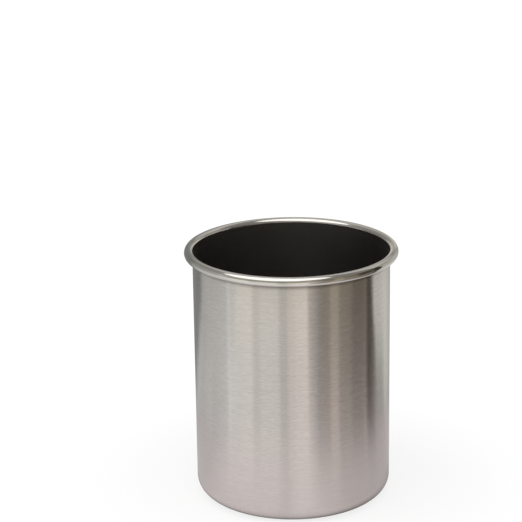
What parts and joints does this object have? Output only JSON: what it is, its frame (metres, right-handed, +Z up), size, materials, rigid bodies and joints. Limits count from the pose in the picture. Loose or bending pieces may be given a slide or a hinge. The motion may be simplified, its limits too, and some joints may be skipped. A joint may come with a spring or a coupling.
{
  "type": "utensil crock",
  "caption": "Straight round open crock of brushed steel with a turned lower corner, a thick bead rolled outwards round its mouth and a non-slip pad under its base, for standing kitchen tools.",
  "frame": {"origin": "middle of the pad's underside, at the centre of the bottom of the whole crock's box", "axes": "+Z up along the crock's axis, out of its mouth; +Y points to the back, where the ends of the hidden rim wire butt"},
  "size_m": [0.1376, 0.1376, 0.1666],
  "materials": {
    "brushed_stainless": "wall and corner brushed around the axis, bead and inside polished",
    "steel_wire": "plain drawn wire",
    "black_rubber": "matt black sheet rubber"
  },
  "bodies": {
    "root": {"crock_shell": "brushed_stainless", "rim_wire": "steel_wire", "base_pad": "black_rubber"}
  },
  "joints": []
}
